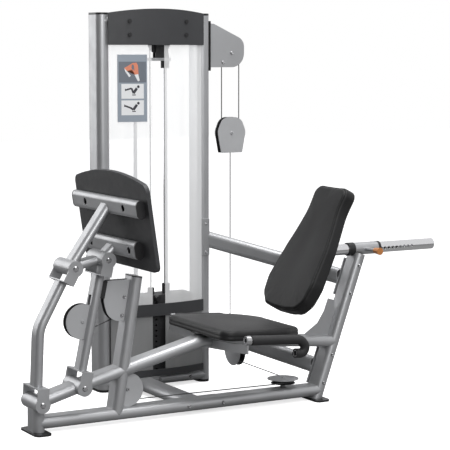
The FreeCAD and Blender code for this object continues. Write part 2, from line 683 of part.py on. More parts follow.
# brackets of the two upper pulleys
bracket_low, bracket_high = TOP.z - 68, TOP.z + 140
outer_points = [(column_face + 6, bracket_low), (TOP.x + 68, bracket_low, 67.9),
                (TOP.x + 68, TOP.z + 62, 50), (column_face + 34, bracket_high, 12),
                (column_face + 6, bracket_high)]
anchor = Vector(TOP.x - GROOVE, PLANE_Y, TOP.z - 45)
flange = box("6", "76", "236", place(column_face, PLANE_Y - 38, TOP.z - 84))
flange_way = cylinder("14", "40", place(column_face - 10, PLANE_Y, CROSSING_Z, X_AXIS, Y_AXIS))
bridge = box("10", 2 * dim("guard_gap"), "16", place(column_face + 6, PLANE_Y - dim("guard_gap"),
                                                     bracket_low))
outer_bracket = cut(fuse(guard_pair(outer_points, PLANE_Y, TOP, anchor) + [flange, bridge]),
                    [flange_way])
# the inner pair hangs from the upper beam and carries the crosshead of the guide rods
inner_high, crosshead = BEAM_HIGH - FACE, 14.0
inner_points = [(INNER.x - 24, inner_high), (INNER.x - 24, ROD_TOP + crosshead),
                (INNER.x + 46, ROD_TOP + crosshead), (INNER.x + 24, inner_high)]
head_bar = cut(box("208", "2 * guard_gap + 2 * guard_plate", crosshead,
                   place(STACK_X - 104, PLANE_Y - AXLE_HALF, ROD_TOP)),
               [cylinder("8", "40", place(STACK_X, PLANE_Y, ROD_TOP - 10))])
node("top_pulley_brackets", group([outer_bracket, head_bar]
                                  + guard_pair(inner_points, PLANE_Y, INNER)))

# --- header, shroud and bars ------------------------------------------------------------------
FRONT_Y = TOWER_Y - dim("column_wide") / 2


def bowed_strip(x_low, x_high, z_low, z_high, back, sag, thick):
    """Panel standing along Z, bowed forward in plan across the tower's width."""
    span = COLUMNS[1] - COLUMNS[0]

    def front_at(x):
        across = (x - COLUMNS[0]) / span
        return back - sag * 4 * across * (1 - across)

    def curve(offset):
        middle = (x_low + x_high) / 2
        return [Vector(x, front_at(x) + offset, z_low) for x in (x_low, middle, x_high)]

    near, far = curve(0), curve(thick)
    wire = Part.Wire([
        Part.Arc(*near).toShape(), Part.makeLine(near[2], far[2]),
        Part.Arc(far[2], far[1], far[0]).toShape(), Part.makeLine(far[0], near[0])])
    return Part.Face(wire).extrude(Vector(0, 0, z_high - z_low))


HEADER_LOW, HEADER_TOP, HEADER_RISE = 1626.0, 1772.0, 22.0
header = bowed_strip(COLUMNS[0] + 14, COLUMNS[1] - 14, HEADER_LOW, HEADER_TOP + HEADER_RISE,
                     FRONT_Y - 8, 42, 6)
arc_left, arc_right = COLUMNS[0] - 60, COLUMNS[1] + 60
crown = Part.Arc(Vector(arc_left, 0, HEADER_TOP - 12), Vector(STACK_X, 0, HEADER_TOP + HEADER_RISE),
                 Vector(arc_right, 0, HEADER_TOP - 12)).toShape()
crown_wire = Part.Wire([crown, Part.makeLine(Vector(arc_right, 0, HEADER_TOP - 12),
                                             Vector(arc_right, 0, 2000)),
                        Part.makeLine(Vector(arc_right, 0, 2000), Vector(arc_left, 0, 2000)),
                        Part.makeLine(Vector(arc_left, 0, 2000),
                                      Vector(arc_left, 0, HEADER_TOP - 12))])
crown_tool = feature(Part.Face(crown_wire).extrude(Vector(0, 900, 0)))
node("header_panel", cut(feature(header), [crown_tool]))
SCREW_XS = (STACK_X - 148, STACK_X + 148)
screw_y = FRONT_Y - 8 - 42 * (1 - (148 / (COLUMNS[1] - COLUMNS[0]) * 2) ** 2)
screws = []
for x in SCREW_XS:
    for z in (HEADER_LOW + 48, HEADER_LOW + 110):
        screws.append(cylinder("9.5", "3.5", place(x, screw_y - 3.2, z, -Y_AXIS)))
node("header_screws", group(screws))
SHROUD_LOW = BEAM_LOW + FACE + 8
SHROUD_BACK, SHROUD_SAG = FRONT_Y + 4, 40.0
SLOT_HALF = 34.0
node("shroud_panels", group([
    feature(bowed_strip(COLUMNS[0] + 22, STACK_X - SLOT_HALF, SHROUD_LOW, HEADER_LOW - 1,
                        SHROUD_BACK, SHROUD_SAG, 4)),
    feature(bowed_strip(STACK_X + SLOT_HALF, COLUMNS[1] - 22, SHROUD_LOW, HEADER_LOW - 1,
                        SHROUD_BACK, SHROUD_SAG, 4))]))
node("guard_bars", group([
    feature(bowed_strip(COLUMNS[0] + 16, COLUMNS[1] - 16, z, z + height, SHROUD_BACK - 8.5,
                        SHROUD_SAG, 8))
    for z, height in ((352, 56), (SHROUD_LOW - 6, 32))]))
PLACARD_LEFT, PLACARD_RIGHT = STACK_X - 200, STACK_X - 58
node("placard", feature(bowed_strip(PLACARD_LEFT, PLACARD_RIGHT, 1271, 1582, SHROUD_BACK - 2.2,
                                    SHROUD_SAG, 2)))

# --- braces -----------------------------------------------------------------------------------
def brace(column_point, post_z, drop, tools):
    """Tube from the right column to an end plate on the far side of the rear post."""
    centre = post_at(post_z) + Y_AXIS * (NOSE + 6)
    tube = oval_bar(column_point, centre, Z_AXIS, "arm_wide", "frame_deep")
    across = Y_AXIS.cross(POST_UP)
    corner_at = centre - Y_AXIS * 6 - POST_UP * (drop / 2) - across * 24
    end_plate = box("48", "6", drop, place(*corner_at, POST_UP, across))
    trim = box("600", "120", "600", place(centre.x - 300, NOSE - 114, post_z - 300))
    return [cut(tube, [trim, column_solids[1]] + tools), end_plate]


upper_start = Vector(dim("column_right_x") + 6, TOWER_Y - 20, 700)
lower_start = Vector(dim("column_right_x") + 6, TOWER_Y - 20, 262)
nose_y = TOWER_Y - dim("column_wide") / 2
plate_block = box("38", "10", "176", place(dim("column_right_x") - 19, nose_y - 6, 620))
column_plate = cut(plate_block, [column_solids[1]])
plate_bolts = [bolt_head(dim("column_right_x"), nose_y - 6, z, -Y_AXIS, 7) for z in (634, 771)]
BASE_BRACE_X = 778.0
beam_solid = oval_bar((beam_span[0], PLANE_Y, BEAM_LOW), (beam_span[1], PLANE_Y, BEAM_LOW),
                      hollow=False)
base_tube = cut(oval_bar((BASE_BRACE_X, NOSE + 6, BEAM_LOW), (BASE_BRACE_X, PLANE_Y - 20, BEAM_LOW),
                         X_AXIS), [beam_solid])
base_flange = box("230", "6", "48", place(BASE_BRACE_X - 115, NOSE, BEAM_LOW - 20))
node("tower_braces", group(brace(upper_start, 547, 178, [plate_block])
                           + brace(lower_start, 142, 176, [])
                           + [base_tube, base_flange, column_plate]))

# --- seat and handles -------------------------------------------------------------------------
SEAT_TILT = math.radians(dim("seat_tilt"))
SEAT_ALONG = Vector(math.cos(SEAT_TILT), 0, -math.sin(SEAT_TILT))
SEAT_UP = Vector(math.sin(SEAT_TILT), 0, math.cos(SEAT_TILT))
length, half = dim("seat_length"), dim("seat_half")
seat_points = [(0, -half, 55), (length * 0.5, -half + 10, 300), (length * 0.78, -half + 42, 150),
               (length, -half + 107, 70), (length, half - 107, 70),
               (length * 0.78, half - 42, 150), (length * 0.5, half - 10, 300), (0, half, 55)]
seat_low = Vector(dim("seat_front_x"), 0, dim("seat_top_front")) - SEAT_UP * dim("seat_thick")
seat = plate(seat_points, "seat_thick", place(*seat_low, SEAT_UP, SEAT_ALONG))
node("seat_pad", seat)

HANDLE_X, HANDLE_Y, HANDLE_Z = 832.0, dim("handle_y"), 373.0
pan = box("300", "240", "5", place(*(seat_low + SEAT_ALONG * 60 - SEAT_UP * 5 - Y_AXIS * 120),
                                   SEAT_UP, SEAT_ALONG))
risers = [box("60", "8", drop, place(*(seat_low + SEAT_ALONG * start - SEAT_UP * (drop + 4)
                                       + Y_AXIS * (side * 30 - 4)), SEAT_UP, SEAT_ALONG))
          for start, drop in ((90, 22), (280, 36)) for side in (-1, 1)]
bar_end, bar_half = HANDLE_Z - 19.5, 19.0
bar_points = [(-HANDLE_Y - 12, bar_end), (-HANDLE_Y - 12, bar_end - 2 * bar_half),
              (0, 308 - bar_half), (HANDLE_Y + 12, bar_end - 2 * bar_half),
              (HANDLE_Y + 12, bar_end), (0, 308 + bar_half)]
cross_bar = cut(plate(bar_points, "8", facing_x(HANDLE_X - 11)), [rail_whole])
node("seat_bracket", group([cut(fuse([pan] + risers), [rail_whole]), cross_bar]))
frames, grips = [], []
tube_out, grip_out = dim("handle_tube"), dim("grip_radius")
for side in (-1, 1):
    y = side * HANDLE_Y
    run = [(HANDLE_X - 4, y, HANDLE_Z), (1098, y, HANDLE_Z - 18, 45), (1144, y, HANDLE_Z - 82, 24),
           (1068, y, HANDLE_Z - 76)]
    bar = swept(run, tube_out, tube_out - 2.5)
    collar = Part.makeCylinder(tube_out + 4.5, 22, Vector(HANDLE_X - 11, y, HANDLE_Z), X_AXIS)
    bore = Part.makeCylinder(9, 22, Vector(HANDLE_X - 11, y, HANDLE_Z), X_AXIS)
    frames += [feature(bar), feature(collar.cut(bore).cut(swept(run, tube_out)))]
    window = Part.makeBox(400, 60, 200, Vector(HANDLE_X + 16, y - 30, HANDLE_Z - 130))
    foam = swept(run, grip_out).common(window).cut(swept(run, tube_out))
    grips.append(feature(foam))
node("handle_frames", group(frames))
node("handle_grips", group(grips))

# --- fasteners on the frame -------------------------------------------------------------------
post_bolts = [bolt_head(*(post_at(z) - Y_AXIS * NOSE), -Y_AXIS)
              for z in (611, 483, 206, 79)]
rail_bolts = [bolt_head(x, -NOSE, RAIL_Z, -Y_AXIS) for x in (706, 878)]
beam_bolts = [bolt_head(x, PLANE_Y - NOSE, BEAM_LOW, -Y_AXIS) for x in (887, 1054)]
flange_bolts = [bolt_head(column_face + 6, PLANE_Y + side * 28, z, X_AXIS, 7)
                for side in (-1, 1) for z in (TOP.z - 72, TOP.z + 140)]
axles = [axle(UPPER, Y_AXIS, AXLE_HALF), axle(LOWER, Y_AXIS, AXLE_HALF),
         axle(TOP, Y_AXIS, AXLE_HALF), axle(INNER, Y_AXIS, AXLE_HALF),
         axle(corner, X_AXIS, AXLE_HALF)]
anchor_bolts = [axle(at, Y_AXIS, AXLE_HALF) for at in (anchor, ANCHOR_LINK)]
node("frame_bolts", group(post_bolts + rail_bolts + beam_bolts + flange_bolts + plate_bolts
                          + axles + anchor_bolts))

# --- foot linkage -----------------------------------------------------------------------------
ARM = ("arm_wide", "arm_deep")
web_top = dim("yoke_reach")
front_bend = Vector(14, 0, 440)
front_low = A + (front_bend - A).normalize() * web_top
front_high = C + (front_bend - C).normalize() * web_top
low_pieces, low_drill = yoke(A, front_bend - A)
high_pieces, high_drill = yoke(C, front_bend - C)
front_tube = feature(oval_sweep([(front_low.x, front_low.z), (front_bend.x, front_bend.z),
                                 (front_high.x, front_high.z)], 160, dim("arm_wide"),
                                dim("arm_deep"), dim("wall")))
node("front_link", cut(fuse(low_pieces + high_pieces + [front_tube]), [low_drill, high_drill]))
node("front_link_pins", group([pin(A), pin(C)]))

rear_low, rear_high = B + LINK_UP * web_top, D - LINK_UP * web_top
low_pieces, low_drill = yoke(B, LINK_UP)
high_pieces, high_drill = yoke(D, LINK_UP * -1)
link_tube = oval_bar(rear_low, rear_high, Y_AXIS, *ARM)
slot_start = along_link(212, -30) - Y_AXIS * dim("guard_gap")
link_slot = box("60", "2 * guard_gap", "180", place(*slot_start, LINK_UP, LINK_FORE))
node("rear_link", cut(fuse(low_pieces + high_pieces + [link_tube]),
                      [low_drill, high_drill, link_slot]))
node("rear_link_pins", group([pin(B), pin(D)]))
beyond_face = box("200", "200", "600",
                  place(*(along_link(0, -dim("arm_deep") / 2) - Y_AXIS * 100), LINK_UP, LINK_FORE))
guard_outline = disc_outline(LINK_PULLEY.x, LINK_PULLEY.z, 76)
node("link_pulley_guard", group(
    [cut(side, [beyond_face]) for side in guard_pair(guard_outline, 0, LINK_PULLEY)]
    + [axle(LINK_PULLEY, Y_AXIS, AXLE_HALF)]))

# foot carriage: two hubs, arms and cross tubes that carry the foot plate
PLATE_TILT = math.radians(8.5)
PLATE_UP = Vector(-math.sin(PLATE_TILT), 0, math.cos(PLATE_TILT))
PLATE_OUT = Vector(math.cos(PLATE_TILT), 0, math.sin(PLATE_TILT))
PLATE_BACK = Vector(359, 0, 955)
arm_half = dim("arm_deep") / 2
cross_high = PLATE_BACK - PLATE_OUT * arm_half
cross_low = cross_high - PLATE_UP * 180
HIGH_HALF, LOW_HALF = 313.0, 242.0


def cross_tube(centre, reach, hollow=True):
    """Flat-oval cross tube, its flat side against the foot plate."""
    return oval_bar(centre - Y_AXIS * reach, centre + Y_AXIS * reach, PLATE_UP, *ARM, hollow)


hub_c = hub(C, False)
hub_d = hub(D, False)
high_solid, low_solid = cross_tube(cross_high, HIGH_HALF, False), cross_tube(cross_low, LOW_HALF, False)
arms = [cut(oval_bar(C, cross_high, Y_AXIS, *ARM), [hub_c, high_solid]),
        cut(oval_bar(D, cross_low, Y_AXIS, *ARM), [hub_d, low_solid]),
        cut(oval_bar(C, D, Y_AXIS, *ARM), [hub_c, hub_d])]
open_drill = cylinder("pin_radius + 8", "hub_length", place(*(C - Y_AXIS * 75), Y_AXIS))


def access_holes(centre, reach):
    """Tools for the screwdriver holes in the near wall of a cross tube."""
    starts = [centre - PLATE_OUT * 40 + Y_AXIS * (side * reach) for side in (-1, 1)]
    return [cylinder("15", "40", place(*start, PLATE_OUT, Y_AXIS)) for start in starts]


carriage = fuse([cut(hub(C, False), [open_drill]), hub(D),
                 cut(cross_tube(cross_high, HIGH_HALF), access_holes(cross_high, 187)),
                 cut(cross_tube(cross_low, LOW_HALF), access_holes(cross_low, 187))] + arms)
node("foot_carriage", carriage)
node("cross_tube_caps", group([
    oval_bar(centre + Y_AXIS * (side * reach), centre + Y_AXIS * (side * (reach + 8)), PLATE_UP,
             *ARM, False)
    for centre, reach in ((cross_high, HIGH_HALF), (cross_low, LOW_HALF)) for side in (-1, 1)]))


def foot_plate():
    """Board with rounded corners and an arched top edge."""
    half_width, low, shoulder, top = 350.0, -268.0, 88.0, 142.0
    edges = [
        Part.LineSegment(Vector(-half_width, low + 30, 0), Vector(-half_width, shoulder - 20, 0)),
        Part.Arc(Vector(-half_width, shoulder - 20, 0), Vector(-half_width + 7, shoulder + 1, 0),
                 Vector(-half_width + 24, shoulder + 14, 0)),
        Part.Arc(Vector(-half_width + 24, shoulder + 14, 0), Vector(0, top, 0),
                 Vector(half_width - 24, shoulder + 14, 0)),
        Part.Arc(Vector(half_width - 24, shoulder + 14, 0), Vector(half_width - 7, shoulder + 1, 0),
                 Vector(half_width, shoulder - 20, 0)),
        Part.LineSegment(Vector(half_width, shoulder - 20, 0), Vector(half_width, low + 30, 0)),
        Part.Arc(Vector(half_width, low + 30, 0), Vector(half_width - 8.8, low + 8.8, 0),
                 Vector(half_width - 30, low, 0)),
        Part.LineSegment(Vector(half_width - 30, low, 0), Vector(-half_width + 30, low, 0)),
        Part.Arc(Vector(-half_width + 30, low, 0), Vector(-half_width + 8.8, low + 8.8, 0),
                 Vector(-half_width, low + 30, 0)),
    ]
    body = doc.addObject("PartDesign::Body", "Board")
    sketch = body.newObject("Sketcher::SketchObject", "Outline")
    sketch.AttachmentSupport = (origin_plane(body, "XY_Plane"), [""])
    sketch.MapMode = "FlatFace"
    sketch.addGeometry(edges, False)
    pad = body.newObject("PartDesign::Pad", "Thickness")
    pad.Profile = sketch
    pad.Length = 18
    body.Tip = pad
    body.Placement = place(*PLATE_BACK, PLATE_OUT, Y_AXIS)
    return body


node("foot_plate", foot_plate())

# --- floating block ---------------------------------------------------------------------------
BLOCK = Vector(corner.x, PLANE_Y, dim("block_z"))
BLOCK_DROP = 95.0
block_points = [(BLOCK.x - 58, BLOCK.z - BLOCK_DROP, 5), (BLOCK.x + 58, BLOCK.z - BLOCK_DROP, 5),
                (BLOCK.x + 78, BLOCK.z + 8, 60), (BLOCK.x + 50, BLOCK.z + 77, 50),
                (BLOCK.x - 50, BLOCK.z + 77, 50), (BLOCK.x - 78, BLOCK.z + 8, 60)]
block_web = box("70", 2 * dim("guard_gap"), "6",
                place(BLOCK.x - 35, PLANE_Y - dim("guard_gap"), BLOCK.z - BLOCK_DROP))
node("floating_block", group([fuse(guard_pair(block_points, PLANE_Y, BLOCK) + [block_web]),
                              axle(BLOCK, Y_AXIS, AXLE_HALF)]))

# --- pulleys ----------------------------------------------------------------------------------
pulley("link_pulley", *LINK_PULLEY)
pulley("upright_upper_pulley", *UPPER)
pulley("upright_lower_pulley", *LOWER)
pulley("rail_pulley", *rail_pulley, Z_AXIS)
pulley("corner_pulley", *corner, X_AXIS)
pulley("block_pulley", *BLOCK)
pulley("outer_top_pulley", *TOP)
pulley("inner_top_pulley", *INNER)

# --- back pad on its slide --------------------------------------------------------------------
RECLINE = math.radians(28.0)
BACK_UP = Vector(math.sin(RECLINE), 0, math.cos(RECLINE))
BACK_OUT = Vector(math.cos(RECLINE), 0, -math.sin(RECLINE))
BACK_LOW = Vector(1179, 0, 427.5)
BACK_THICK = 68.5
back_points = [(-136, 634, 45), (-129, 515, 250), (-174, 330, 250), (-198, 150, 120),
               (-183, 70, 60), (-136, 22, 60), (-52, 11, 200), (52, 11, 200), (136, 22, 60),
               (183, 70, 60), (198, 150, 120), (174, 330, 250), (129, 515, 250), (136, 634, 45)]
node("back_pad", plate(back_points, BACK_THICK, place(*BACK_LOW, BACK_OUT, Y_AXIS)))
spine_low = BACK_LOW + BACK_OUT * BACK_THICK + BACK_UP * 120
strip = box("120", "6", "380", place(*(spine_low - Y_AXIS * 60 + BACK_OUT * 6), BACK_UP, Y_AXIS))
ear_points = [(spine_low.x + 20, spine_low.z + 60), (dim("slide_front"), SLIDE_Z - 34),
              (dim("slide_front"), SLIDE_Z + 34, 4),
              ((spine_low + BACK_UP * 330).x, (spine_low + BACK_UP * 330).z)]
ears = [plate(ear_points, "6", facing_y(y)) for y in (-19, 25)]
socket_cap = cylinder("34", "6", place(dim("slide_front") - 6, 0, SLIDE_Z, X_AXIS, Y_AXIS))
pad_space = plate(back_points, BACK_THICK, place(*BACK_LOW, BACK_OUT, Y_AXIS))
node("back_bracket", cut(fuse([strip, socket_cap] + ears), [pad_space]))
chrome = cylinder("slide_radius", "slide_end - slide_front",
                  place(dim("slide_front"), 0, SLIDE_Z, X_AXIS, Y_AXIS))
chrome_tools = [cylinder("slide_radius - wall", "slide_end - slide_front",
                         place(dim("slide_front"), 0, SLIDE_Z, X_AXIS, Y_AXIS))]
first_hole = dim("slide_first_hole") - 5 * dim("slide_hole_pitch")
for index in range(int(dim("slide_holes")) + 5):
    x = first_hole + index * dim("slide_hole_pitch")
    chrome_tools.append(cylinder("6.5", "40", place(x, -10, SLIDE_Z, -Y_AXIS)))
node("slide_tube", cut(chrome, chrome_tools))

tip_y = -dim("slide_radius") - 0.5
stem_shape = cylinder("5", "82", place(PIN_X, tip_y, SLIDE_Z, -Y_AXIS))
knob = doc.addObject("Part::Cone", "Knob")
knob.Radius1, knob.Radius2, knob.Height = 13.0, 17.0, 40.0
knob.Placement = place(PIN_X, -104, SLIDE_Z, -Y_AXIS)
node("pop_pin", fuse([stem_shape, knob]))

# --- cables -----------------------------------------------------------------------------------
CABLE = dim("cable_radius")


def polar(centre, radius, degrees, flat=False):
    """Point on a circle in the XZ plane (XY if flat), degrees from +X."""
    angle = math.radians(degrees)
    up = Y_AXIS if flat else Z_AXIS
    return centre + (X_AXIS * math.cos(angle) + up * math.sin(angle)) * radius


def tangent_points(first, second, radius_a, radius_b, side, flat=False):
    """Ends and angle of the tangent line between two circles of one plane."""
    gap = second - first
    heading = math.atan2(gap.y if flat else gap.z, gap.x)
    swing = math.acos((radius_a - radius_b) / gap.Length)
    angle = math.degrees(heading + side * swing)
    return polar(first, radius_a, angle, flat), polar(second, radius_b, angle, flat), angle


def arc(centre, radius, start, end, flat=False):
    """Arc edge between two angles in degrees."""
    ends = [polar(centre, radius, value, flat) for value in (start, (start + end) / 2, end)]
    return Part.Arc(*ends).toShape()


def cable(edges):
    """Round cable along a chain of edges, each starting where the last one ends."""
    ends = edges[0].valueAt(edges[0].FirstParameter), edges[0].tangentAt(edges[0].FirstParameter)
    ring_wire = Part.Wire(Part.makeCircle(CABLE, *ends))
    spine = Part.Wire(edges)
    return feature(spine.makePipeShell([ring_wire], True, False, 2))


def eye(at):
    """Cable end: a ring round its anchor bolt."""
    ring_out = cylinder("11", "8", place(at.x, at.y - 4, at.z, Y_AXIS))
    return cut(ring_out, [cylinder("axle_radius", "8", place(at.x, at.y - 4, at.z, Y_AXIS))])


EYE = 11.0
low_tan, low_end, low_angle = tangent_points(LINK_PULLEY, ANCHOR_LINK, GROOVE, 0.0, -1)
up_tan, up_end, up_angle = tangent_points(LINK_PULLEY, UPPER, GROOVE, GROOVE, 1)
down_tan, down_end, down_angle = tangent_points(UPPER, LOWER, GROOVE, -GROOVE, 1)
link_end = ANCHOR_LINK + (low_tan - ANCHOR_LINK).normalize() * EYE
node("link_cable", cable([Part.makeLine(link_end, low_tan),
                          arc(LINK_PULLEY, GROOVE, low_angle, up_angle - 360),
                          Part.makeLine(up_tan, up_end)]))

under = LOWER - Z_AXIS * GROOVE
rail_in = tangent_points(under, rail_pulley, 0.0, GROOVE, -1, True)
over_corner = corner - Z_AXIS * GROOVE
rail_out = tangent_points(rail_pulley, over_corner, GROOVE, 0.0, -1, True)
corner_mid = corner + (Y_AXIS - Z_AXIS) * (GROOVE * math.sqrt(0.5))
rise = corner + Y_AXIS * GROOVE
base_run = [
    arc(UPPER, GROOVE, up_angle, down_angle), Part.makeLine(down_tan, down_end),
    arc(LOWER, GROOVE, down_angle + 180, 270), Part.makeLine(under, rail_in[1]),
    arc(rail_pulley, GROOVE, rail_in[2], rail_out[2], True), Part.makeLine(rail_out[0], over_corner),
    Part.Arc(over_corner, corner_mid, rise).toShape()]
over_top, over_inner, top_angle = tangent_points(TOP, INNER, GROOVE, GROOVE, -1)
top_run = [arc(TOP, GROOVE, 0, top_angle), Part.makeLine(over_top, over_inner),
           arc(INNER, GROOVE, top_angle, 180)]
node("fixed_cable", group([cable(base_run), cable(top_run), eye(anchor), eye(ANCHOR_LINK)]))
block_foot = BLOCK - Z_AXIS * BLOCK_DROP
node("block_low_cable", cable([Part.makeLine(rise, block_foot)]))
node("block_high_cable", cable([
    Part.makeLine(anchor - Z_AXIS * EYE, BLOCK - X_AXIS * GROOVE), arc(BLOCK, GROOVE, 180, 360),
    Part.makeLine(BLOCK + X_AXIS * GROOVE, TOP + X_AXIS * GROOVE)]))
node("stack_cable", cable([Part.makeLine(INNER - X_AXIS * GROOVE,
                                         Vector(STACK_X, PLANE_Y, HEAD_TOP + 30))]))

# --- checks and files -------------------------------------------------------------------------
doc.recompute()
os.makedirs("parts", exist_ok=True)
for label, thing in NODES.items():
    shape = thing.Shape
    if shape.isNull() or not shape.isValid() or not shape.Solids:
        raise ValueError(f"{label} has no valid solid")
for thing in doc.Objects:
    if "Invalid" in thing.State or "Error" in thing.State:
        raise ValueError(f"{thing.Name} ({thing.Label}) failed: {thing.State}")
whole = FreeCAD.BoundBox()
for label, thing in NODES.items():
    thing.Shape.exportStep(f"parts/{label}.step")
    whole.add(thing.Shape.BoundBox)
print(len(NODES), "sub-parts", whole)
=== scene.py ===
"""Looks of the seated leg press: materials, upholstered pads, cables, placard, light and camera."""
import json
import math

import bmesh
import bpy
import numpy as np
from mathutils import Matrix, Vector


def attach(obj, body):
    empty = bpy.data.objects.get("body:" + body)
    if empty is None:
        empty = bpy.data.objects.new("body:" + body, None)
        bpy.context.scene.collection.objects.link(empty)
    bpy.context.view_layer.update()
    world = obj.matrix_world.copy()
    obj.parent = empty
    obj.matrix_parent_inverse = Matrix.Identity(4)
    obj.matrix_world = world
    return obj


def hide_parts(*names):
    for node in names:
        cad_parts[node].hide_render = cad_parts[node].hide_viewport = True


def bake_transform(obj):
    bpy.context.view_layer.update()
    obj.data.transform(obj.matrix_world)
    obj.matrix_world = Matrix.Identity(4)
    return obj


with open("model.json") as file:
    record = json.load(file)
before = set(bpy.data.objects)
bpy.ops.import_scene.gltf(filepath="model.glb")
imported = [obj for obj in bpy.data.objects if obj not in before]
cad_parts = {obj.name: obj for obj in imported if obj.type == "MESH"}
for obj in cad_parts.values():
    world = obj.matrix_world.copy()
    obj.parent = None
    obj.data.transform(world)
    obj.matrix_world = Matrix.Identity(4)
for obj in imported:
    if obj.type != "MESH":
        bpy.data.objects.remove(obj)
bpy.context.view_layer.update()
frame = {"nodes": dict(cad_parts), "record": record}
nodes = frame["nodes"]

# The machine is laid out in millimetres from the centre of its front foot. The frame's origin is
# on the floor below the middle of the whole machine.
MIDDLE = Vector((1.004, 0.17125, 0.0))
CABLE_PLANE = 632.0      # Y of the stack and of the cable beside the tower


def at(x, y, z):
    """Machine millimetres to scene metres."""
    return Vector((x, y, z)) / 1000 - MIDDLE


# --- materials ------------------------------------------------------------------------------
class Recipe:
    """Small helper that builds one procedural material."""

    def __init__(self, name):
        self.material = bpy.data.materials.new(name)
        self.material.use_nodes = True
        self.tree = self.material.node_tree
        self.tree.nodes.clear()
        self.output = self.add("ShaderNodeOutputMaterial")
        self.coordinates = self.add("ShaderNodeTexCoord")

    def add(self, kind, **inputs):
        made = self.tree.nodes.new(kind)
        for key, value in inputs.items():
            made.inputs[key.replace("_", " ")].default_value = value
        return made

    def link(self, source, target):
        self.tree.links.new(source, target)

    def noise(self, scale, detail=3.0, stretch=None):
        made = self.add("ShaderNodeTexNoise", Scale=scale, Detail=detail)
        if stretch:
            mapping = self.add("ShaderNodeMapping")
            mapping.inputs["Scale"].default_value = stretch
            self.link(self.coordinates.outputs["Object"], mapping.inputs["Vector"])
            self.link(mapping.outputs["Vector"], made.inputs["Vector"])
        else:
            self.link(self.coordinates.outputs["Object"], made.inputs["Vector"])
        return made.outputs["Fac"]

    def ramp(self, source, stops):
        made = self.add("ShaderNodeValToRGB")
        while len(made.color_ramp.elements) < len(stops):
            made.color_ramp.elements.new(0.5)
        for element, (position, colour) in zip(made.color_ramp.elements, stops):
            element.position = position
            element.color = (*colour, 1.0)
        self.link(source, made.inputs["Fac"])
        return made.outputs["Color"]


def shade(colour, factor):
    """Colour made darker or lighter."""
    return tuple(min(1.0, channel * factor) for channel in colour)


EDGE_RADIUS = 0.0008     # worn edges of every hard part
GRAIN_HEIGHT = 0.0004    # tallest bump of paint, rubber and vinyl


def surface(name, colour, rough, metal, vary, vary_scale, grain=0.0, grain_scale=900.0):
    """Painted, plated or moulded surface with slight variation and fine grain."""
    recipe = Recipe(name)
    shader = recipe.add("ShaderNodeBsdfPrincipled")
    patch = recipe.noise(vary_scale, 4.0)
    low, high = shade(colour, 1 - vary), shade(colour, 1 + vary)
    recipe.link(recipe.ramp(patch, [(0.3, low), (0.7, high)]), shader.inputs["Base Color"])
    shader.inputs["Metallic"].default_value = metal
    wear = recipe.ramp(recipe.noise(vary_scale * 3, 5.0),
                       [(0.3, (rough * 0.9,) * 3), (0.75, (min(1.0, rough * 1.12),) * 3)])
    recipe.link(wear, shader.inputs["Roughness"])
    worn = recipe.add("ShaderNodeBevel", Radius=EDGE_RADIUS)
    worn.samples = 4
    normal = worn.outputs["Normal"]
    if grain:
        bump = recipe.add("ShaderNodeBump", Strength=grain, Distance=GRAIN_HEIGHT)
        recipe.link(recipe.noise(grain_scale, 2.0), bump.inputs["Height"])
        recipe.link(normal, bump.inputs["Normal"])
        normal = bump.outputs["Normal"]
    recipe.link(normal, shader.inputs["Normal"])
    recipe.link(shader.outputs["BSDF"], recipe.output.inputs["Surface"])
    return recipe.material


def leather(name, colour):
    """Upholstery vinyl with a fine cell grain and a soft sheen."""
    recipe = Recipe(name)
    shader = recipe.add("ShaderNodeBsdfPrincipled", Roughness=0.5)
    cells = recipe.add("ShaderNodeTexVoronoi", Scale=700.0)
    cells.feature = "DISTANCE_TO_EDGE"
    recipe.link(recipe.coordinates.outputs["Object"], cells.inputs["Vector"])
    bump = recipe.add("ShaderNodeBump", Strength=0.18, Distance=GRAIN_HEIGHT)
    recipe.link(cells.outputs["Distance"], bump.inputs["Height"])
    recipe.link(bump.outputs["Normal"], shader.inputs["Normal"])
    patch = recipe.noise(14.0, 4.0)
    recipe.link(recipe.ramp(patch, [(0.3, shade(colour, 0.92)), (0.7, shade(colour, 1.08))]),
                shader.inputs["Base Color"])
    shader.inputs["Sheen Weight"].default_value = 0.04
    shader.inputs["Specular IOR Level"].default_value = 0.28
    recipe.link(shader.outputs["BSDF"], recipe.output.inputs["Surface"])
    return recipe.material


DARKER_FOOT_TOP = 0.375        # the shroud is darker below this height, at the cross bar
DARKER_FOOT_FADE = 0.01


